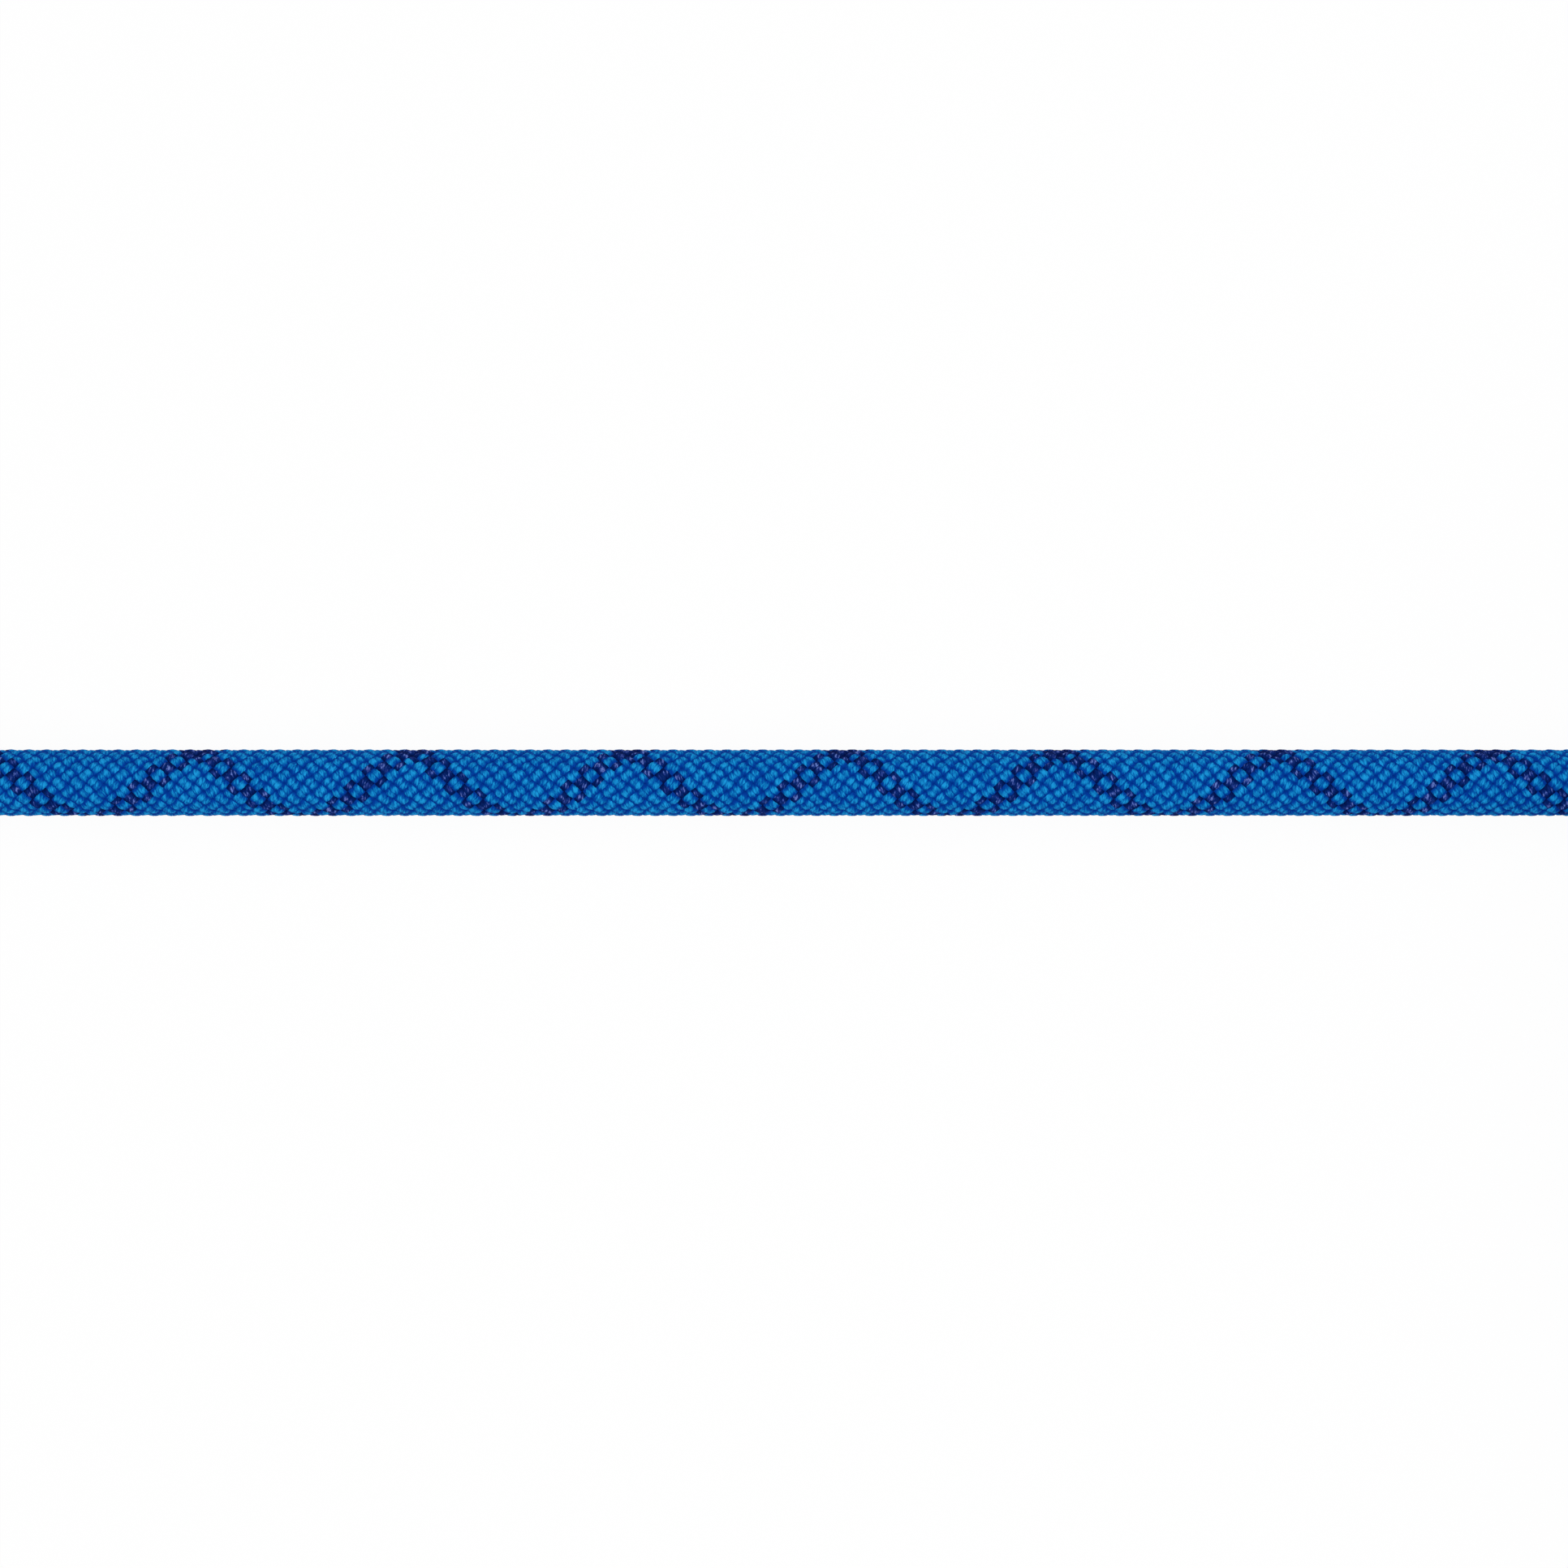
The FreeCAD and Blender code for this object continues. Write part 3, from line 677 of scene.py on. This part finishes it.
# Painted shade: the film's colour is darker where the crumples dip.
milky = add(film, "ShaderNodeValToRGB", (creases,), stops=MILKY_FILM_AND_CREASE_SHADE)
shader = add(
    film,
    "ShaderNodeBsdfPrincipled",
    {"Base Color": milky, "Normal": crumpled, "Roughness": 0.25, "IOR": 1.6},
)
add(film, "ShaderNodeOutputMaterial", (shader,))
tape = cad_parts["marker_tape"]
tape.data.materials.clear()
tape.data.materials.append(film)

# End sleeves: heat-shrink tube, cut to 25 mm and shrunk on over each rope end. It is thin, so
# the braid's pads show through it as low bumps, and its cut ends draw in slightly.
SLEEVE_WALL = 0.45 * MM
SLEEVE_SIDES = 72
SLEEVE_CUTS = 71
PAD_RELIEF = 0.14 * MM
LIP_LENGTH = 1.2 * MM
LIP_DRAWN_IN = 0.12 * MM
MOTTLE_SIZE = 1.5 * MM
BLACK_RUBBER = ((0.35, "#0C0C0E"), (0.7, "#1A1A1D"))


def edit_mode(piece):
    """Selects a piece alone and opens it for editing."""
    bpy.ops.object.select_all(action="DESELECT")
    piece.select_set(True)
    bpy.context.view_layer.objects.active = piece
    bpy.ops.object.mode_set(mode="EDIT")


def select_in(piece, kind, wanted):
    """Selects the faces or edges of an open mesh for which a test holds."""
    bpy.ops.mesh.select_all(action="DESELECT")
    bpy.ops.mesh.select_mode(type="FACE" if kind == "faces" else "EDGE")
    mesh = bmesh.from_edit_mesh(piece.data)
    for element in getattr(mesh, kind):
        element.select_set(wanted(element))
    bmesh.update_edit_mesh(piece.data)


# The sleeves' plastic is black, dull and faintly mottled.
rubber = blank("heat_shrunk_polyolefin")
place = add(rubber, "ShaderNodeTexCoord", output="Object")
mottle = add(
    rubber, "ShaderNodeTexNoise", {"Vector": place, "Scale": 1 / MOTTLE_SIZE, "Detail": 4.0}
)
grain = add(
    rubber, "ShaderNodeBump", {"Height": mottle, "Strength": 0.25, "Distance": 0.05 * MM}
)
black = add(rubber, "ShaderNodeValToRGB", (mottle,), stops=BLACK_RUBBER)
dull = add(
    rubber,
    "ShaderNodeMapRange",
    {"Value": mottle, "From Min": 0.3, "From Max": 0.7, "To Min": 0.38, "To Max": 0.52},
)
shader = add(
    rubber,
    "ShaderNodeBsdfPrincipled",
    {"Base Color": black, "Normal": grain, "Roughness": dull, "IOR": 1.5},
)
add(rubber, "ShaderNodeOutputMaterial", (shader,))

for side_name in ("left", "right"):
    node = f"end_sleeve_{side_name}"
    low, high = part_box(node)
    bpy.ops.object.select_all(action="DESELECT")
    bpy.ops.mesh.primitive_cylinder_add(
        vertices=SLEEVE_SIDES,
        radius=(high.z - low.z) / 2,
        depth=high.x - low.x,
        end_fill_type="NOTHING",
        location=(low + high) / 2,
        rotation=(0.0, math.pi / 2, 0.0),
    )
    sleeve = bpy.context.object
    bpy.ops.object.transform_apply(location=True, rotation=True, scale=True)
    edit_mode(sleeve)
    select_in(
        sleeve,
        "edges",
        lambda edge: abs(edge.verts[0].co.x - edge.verts[1].co.x) > 0.5 * (high.x - low.x),
    )
    bpy.ops.mesh.subdivide(number_cuts=SLEEVE_CUTS)
    bpy.ops.mesh.select_all(action="SELECT")
    bpy.ops.mesh.normals_make_consistent(inside=False)
    bpy.ops.object.mode_set(mode="OBJECT")
    middle = (low + high) / 2
    for vertex in sleeve.data.vertices:
        out = Vector((0.0, vertex.co.y - middle.y, vertex.co.z - middle.z))
        turn = math.atan2(out.y, out.z) / (2 * math.pi) - CROSSING_TURN
        pitches = (vertex.co.x - FREE_END_X - TRACER_CROSSING) / PITCH
        rising = math.cos(math.pi * PAIRS * (turn - pitches))
        falling = math.cos(math.pi * PAIRS * (turn + pitches))
        relief = PAD_RELIEF * (1 - abs(rising * falling))
        to_end = min(vertex.co.x - low.x, high.x - vertex.co.x)
        lip = max(0.0, 1 - to_end / LIP_LENGTH)
        drawn_in = relief * (1 - lip) + LIP_DRAWN_IN * lip * lip
        vertex.co -= out.normalized() * drawn_in
    wall = sleeve.modifiers.new("wall", "SOLIDIFY")
    wall.thickness = SLEEVE_WALL
    wall.offset = -1.0
    bpy.ops.object.modifier_apply(modifier=wall.name)
    sleeve.name = f"heat_shrink_sleeve_{side_name}"
    bpy.ops.object.shade_smooth_by_angle(angle=math.radians(40))
    sleeve.data.materials.append(rubber)
    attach(sleeve, "root")
    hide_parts(node)

# Sealed tips: the cut ends of core and sheath, melted together with a hot blade. Nylon goes
# glassy as it sets: milky amber in the middle, and dark blue where the dyed sheath ran in.
TIP_SIDES = 64
TIP_CUTS = 9
TIP_RINGS = 9
TIP_RIM_STEP = 0.15 * MM
TIP_RING_STEP = 0.42 * MM
TIP_DISH = 0.25 * MM
TIP_LUMP = 0.12 * MM
TIP_LUMPS_PER_METRE = 700.0
TIP_ROUNDING = 0.75 * MM
TIP_ROUNDING_START = 0.62
TIP_RIM_DRAWN_IN = 0.03
TIP_SIDE_DRAWN_IN = 0.1 * MM
TIP_BARE = 1.2 * MM
TIP_TOLERANCE = 0.05 * MM
TIP_FLOW_SIZE = 1.6 * MM
MELTED_THROUGH = ((0.30, "#B9AE8E"), (0.62, "#4A6E9A"), (0.80, "#0A2C78"), (0.92, "#04102E"))


def tip_material(name, centre):
    """Melted nylon: glassy and uneven, its colour from the core inside and the sheath round it."""
    material = blank(name)
    place = add(material, "ShaderNodeTexCoord", output="Object")
    centred = add(
        material,
        "ShaderNodeMapping",
        {"Vector": place, "Location": (0.0, -centre.y, -centre.z), "Scale": (0.0, 1.0, 1.0)},
    )
    out = add(material, "ShaderNodeVectorMath", (centred,), "Value", operation="LENGTH")
    flow = add(
        material,
        "ShaderNodeTexNoise",
        {"Vector": place, "Scale": 1 / TIP_FLOW_SIZE, "Detail": 3.0, "Distortion": 0.8},
    )
    share_out = add(material, "ShaderNodeMath", (out, ROPE / 2), operation="DIVIDE")
    mixed_in = add(material, "ShaderNodeMath", (flow, 0.5, share_out), operation="MULTIPLY_ADD")
    mixed_in = add(material, "ShaderNodeMath", (mixed_in, 0.25), operation="SUBTRACT")
    colour = add(material, "ShaderNodeValToRGB", (mixed_in,), stops=MELTED_THROUGH)
    uneven = add(
        material, "ShaderNodeBump", {"Height": flow, "Strength": 0.5, "Distance": 0.15 * MM}
    )
    shader = add(
        material,
        "ShaderNodeBsdfPrincipled",
        {"Base Color": colour, "Normal": uneven, "Roughness": 0.22, "IOR": NYLON_IOR},
    )
    add(material, "ShaderNodeOutputMaterial", (shader,))
    return material


for side_name, outwards in (("left", -1), ("right", 1)):
    node = f"sealed_tip_{side_name}"
    low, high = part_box(node)
    middle = (low + high) / 2
    radius = (high.z - low.z) / 2
    face_x = high.x if outwards > 0 else low.x
    bpy.ops.object.select_all(action="DESELECT")
    bpy.ops.mesh.primitive_cylinder_add(
        vertices=TIP_SIDES,
        radius=radius,
        depth=high.x - low.x,
        location=middle,
        rotation=(0.0, math.pi / 2, 0.0),
    )
    tip = bpy.context.object
    bpy.ops.object.transform_apply(location=True, rotation=True, scale=True)
    edit_mode(tip)
    select_in(
        tip,
        "faces",
        lambda face: abs(face.calc_center_median().x - face_x) < TIP_TOLERANCE,
    )
    bpy.ops.mesh.inset(thickness=TIP_RIM_STEP)
    for _ in range(TIP_RINGS):
        bpy.ops.mesh.inset(thickness=TIP_RING_STEP)
    bpy.ops.mesh.poke()
    select_in(
        tip,
        "edges",
        lambda edge: abs(edge.verts[0].co.x - edge.verts[1].co.x) > MM,
    )
    bpy.ops.mesh.subdivide(number_cuts=TIP_CUTS)
    bpy.ops.object.mode_set(mode="OBJECT")
    for vertex in tip.data.vertices:
        out = Vector((0.0, vertex.co.y - middle.y, vertex.co.z - middle.z))
        away = out.length / radius
        to_face = abs(vertex.co.x - face_x)
        lump = abs(noise.noise(vertex.co * TIP_LUMPS_PER_METRE)) * TIP_LUMP
        if to_face < TIP_TOLERANCE:
            rim = max(0.0, (away - TIP_ROUNDING_START) / (1 - TIP_ROUNDING_START))
            back = TIP_ROUNDING * rim**3 + TIP_DISH * (1 - away * away) + lump
            vertex.co.x -= outwards * back
            vertex.co -= out * (TIP_RIM_DRAWN_IN * rim)
        elif to_face < TIP_BARE:
            vertex.co -= out.normalized() * (lump + TIP_SIDE_DRAWN_IN)
    tip.name = f"melted_tip_{side_name}"
    bpy.ops.object.shade_smooth_by_angle(angle=math.radians(60))
    tip.data.materials.append(tip_material(f"melted_nylon_{side_name}", middle))
    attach(tip, "root")
    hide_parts(node)

# Tie: 25 mm hook-and-loop tape of woven nylon, drawn round the waist of the hank and pressed
# down on itself on top. Its face is a napped pile, its edges are plain woven selvedges.
TIE_WIDTH = 25.0 * MM
TIE_THICK = 1.2 * MM
TIE_TOP = 101.6 * MM
TIE_HALF = 32.6 * MM
TIE_CUTS = 13
TIE_CORNER = 2.5 * MM
TIE_CORNER_STEPS = 6
TIE_OVERLAP = 46.0 * MM
TIE_SELVEDGE = 1.6 * MM
TIE_LAYER_GAP = 0.03 * MM
TIE_STEP_LENGTH = 2.0 * MM
TIE_NOSE = 2.4 * MM

bpy.ops.object.select_all(action="DESELECT")
bpy.ops.mesh.primitive_plane_add(
    size=1.0, location=(WAIST_X, -TIE_OVERLAP / 2, TIE_TOP + TIE_THICK / 2)
)
tie = bpy.context.object
tie.rotation_euler = (math.pi / 2, 0.0, 0.0)
tie.scale = (TIE_WIDTH, TIE_THICK, 1.0)
bpy.ops.object.transform_apply(location=True, rotation=True, scale=True)
edit_mode(tie)
select_in(tie, "edges", lambda edge: abs(edge.verts[0].co.x - edge.verts[1].co.x) > MM)
bpy.ops.mesh.subdivide(number_cuts=TIE_CUTS)
bpy.ops.mesh.select_all(action="SELECT")


def run_on(y, z, pieces):
    """Carries the open end of the tape on in a straight line, in a number of equal pieces."""
    for _ in range(pieces):
        bpy.ops.mesh.extrude_region_move(
            TRANSFORM_OT_translate={"value": (0.0, y / pieces, z / pieces)}
        )


def round_corner(y, z):
    """Carries the open end round a quarter turn, about a corner's own centre."""
    bpy.ops.mesh.spin(
        steps=TIE_CORNER_STEPS,
        angle=math.pi / 2,
        center=(WAIST_X, y, z),
        axis=(1.0, 0.0, 0.0),
    )


inner_y = TIE_HALF - TIE_CORNER
inner_top = TIE_TOP - TIE_CORNER
inner_bottom = TIE_THICK + TIE_CORNER
run_on(TIE_OVERLAP / 2 + inner_y, 0.0, 12)
round_corner(inner_y, inner_top)
run_on(0.0, inner_bottom - inner_top, 20)
round_corner(inner_y, inner_bottom)
run_on(-2 * inner_y, 0.0, 14)
round_corner(-inner_y, inner_bottom)
run_on(0.0, inner_top - inner_bottom, 20)
round_corner(-inner_y, inner_top)
run_on(inner_y - TIE_OVERLAP / 2 - TIE_STEP_LENGTH, 0.0, 2)
run_on(TIE_STEP_LENGTH, TIE_THICK + TIE_LAYER_GAP, 2)
run_on(TIE_OVERLAP - TIE_STEP_LENGTH, 0.0, 12)

bpy.ops.mesh.select_all(action="SELECT")
bpy.ops.mesh.remove_doubles(threshold=0.01 * MM)
bpy.ops.mesh.normals_make_consistent(inside=False)
bpy.ops.object.mode_set(mode="OBJECT")
for vertex in tie.data.vertices:
    from_end = TIE_OVERLAP / 2 - vertex.co.y
    on_top = vertex.co.z - (TIE_TOP + 1.5 * TIE_THICK)
    if on_top > 0 and from_end < TIE_NOSE:
        vertex.co.z -= TIE_THICK / 3 * (1 - from_end / TIE_NOSE)
tie.name = "hook_and_loop_tie"
bpy.ops.object.shade_smooth_by_angle(angle=math.radians(50))

# Hook-and-loop tape of nylon, napped and matt. The selvedge's picks lie 0.8 mm apart. The pile's
# loops are finer than shows, and are drawn as tufts of 0.6 mm. The charcoal is painted darker in
# the hollows between tufts and picks as painted shade, and lighter on their tops.
PICK_SPACING = 0.8 * MM
TUFT_SIZE = 0.6 * MM
CHARCOAL_AND_RELIEF_SHADE = ((0.3, "#07080B"), (0.75, "#343846"))
nap = blank("napped_nylon_loop_tape")
place = add(nap, "ShaderNodeTexCoord", output="Object")
centred = add(nap, "ShaderNodeMapping", {"Vector": place, "Location": (-WAIST_X, 0.0, 0.0)})
off_middle = add(nap, "ShaderNodeSeparateXYZ", (centred,), "X")
off_middle = add(nap, "ShaderNodeMath", (off_middle,), operation="ABSOLUTE")
is_edge = add(
    nap, "ShaderNodeMath", (off_middle, TIE_WIDTH / 2 - TIE_SELVEDGE), operation="GREATER_THAN"
)
sideways = add(nap, "ShaderNodeSeparateXYZ", (centred,), "Y")
sideways = add(nap, "ShaderNodeMath", (sideways,), operation="ABSOLUTE")
upwards = add(nap, "ShaderNodeSeparateXYZ", (centred,), "Z")
round_waist = add(nap, "ShaderNodeMath", (sideways, upwards), operation="SUBTRACT")
picks = add(
    nap, "ShaderNodeMath", (round_waist, 2 * math.pi / PICK_SPACING), operation="MULTIPLY"
)
picks = add(nap, "ShaderNodeMath", (picks,), operation="SINE")
picks = add(nap, "ShaderNodeMath", (picks, 0.5, 0.5), operation="MULTIPLY_ADD")
pile = add(
    nap,
    "ShaderNodeTexNoise",
    {"Vector": place, "Scale": 1 / TUFT_SIZE, "Detail": 5.0, "Roughness": 0.7},
)
height = add(nap, "ShaderNodeMix", {0: is_edge, 2: pile, 3: picks})
woven = add(nap, "ShaderNodeBump", {"Height": height, "Strength": 1.0, "Distance": 0.5 * MM})
# Painted shade and light: the tape's relief sets its colour, darker in the hollows, lighter on
# top.
charcoal_and_relief_shade = add(nap, "ShaderNodeValToRGB", (height,), stops=CHARCOAL_AND_RELIEF_SHADE)
shader = add(
    nap,
    "ShaderNodeBsdfPrincipled",
    {
        "Base Color": charcoal_and_relief_shade,
        "Normal": woven,
        "Roughness": 0.9,
        "IOR": NYLON_IOR,
        "Specular IOR Level": 0.2,
        "Sheen Weight": 0.25,
        "Sheen Roughness": 0.5,
    },
)
add(nap, "ShaderNodeOutputMaterial", (shader,))
tie.data.materials.append(nap)
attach(tie, "root")
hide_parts("tie_band")

# Studio: a white floor, an even white surround and two large soft lamps overhead. The camera sees
# the surround as pure white and the floor as nearly that, with the rope's soft shadow on it.
FLOOR_SIZE = 6.0
FLOOR_GLOW = 0.95
SURROUND = 0.32
LAMP_POWER = 3.3
LAMP_SIZE = 0.8
LAMP_HEIGHT = 0.75
LAMP_X = -0.1


def seen_share(owner):
    """One for what the camera sees, straight on, mirrored or through glass, and nothing for the
    light that falls on the object."""
    total = 0.0
    for kind in ("Is Camera Ray", "Is Glossy Ray", "Is Transmission Ray"):
        seen = add(owner, "ShaderNodeLightPath", output=kind)
        total = add(owner, "ShaderNodeMath", (seen, total), operation="ADD")
    return total


bpy.ops.object.select_all(action="DESELECT")
bpy.ops.mesh.primitive_plane_add(size=FLOOR_SIZE, location=(0.0, 0.0, 0.0))
floor = bpy.context.object
floor.name = "floor"

# White paper, matt and even. Most of what the camera sees of it is its own even brightness.
paper = blank("white_paper_floor")
matt = add(paper, "ShaderNodeBsdfDiffuse", ((0.97, 0.97, 0.97, 1.0),))
glow = add(paper, "ShaderNodeEmission", ((1.0, 1.0, 1.0, 1.0), 1.0))
seen = add(paper, "ShaderNodeMath", (seen_share(paper), FLOOR_GLOW), operation="MULTIPLY")
mixed = add(paper, "ShaderNodeMixShader", (seen, matt, glow))
add(paper, "ShaderNodeOutputMaterial", (mixed,))
floor.data.materials.append(paper)

# The surround lights the object with a third of the strength that the camera sees.
world = bpy.data.worlds.new("studio")
bpy.context.scene.world = world
world.use_nodes = True
world.node_tree.nodes.clear()
brightening = (seen_share(world), 1.0 - SURROUND, SURROUND)
strength = add(world, "ShaderNodeMath", brightening, operation="MULTIPLY_ADD")
surround = add(world, "ShaderNodeBackground", ((1.0, 1.0, 1.0, 1.0), strength))
add(world, "ShaderNodeOutputWorld", (surround,))
for name, y in (("lamp_left", 0.4), ("lamp_right", -0.35)):
    lamp = bpy.data.lights.new(name, "AREA")
    lamp.energy = LAMP_POWER
    lamp.size = LAMP_SIZE
    item = bpy.data.objects.new(name, lamp)
    bpy.context.scene.collection.objects.link(item)
    item.location = (LAMP_X, y, LAMP_HEIGHT)
    downwards = Vector((LAMP_X, 0.0, 0.0)) - item.location
    item.rotation_euler = downwards.to_track_quat("-Z", "Y").to_euler()

bpy.context.scene.view_settings.view_transform = "Standard"
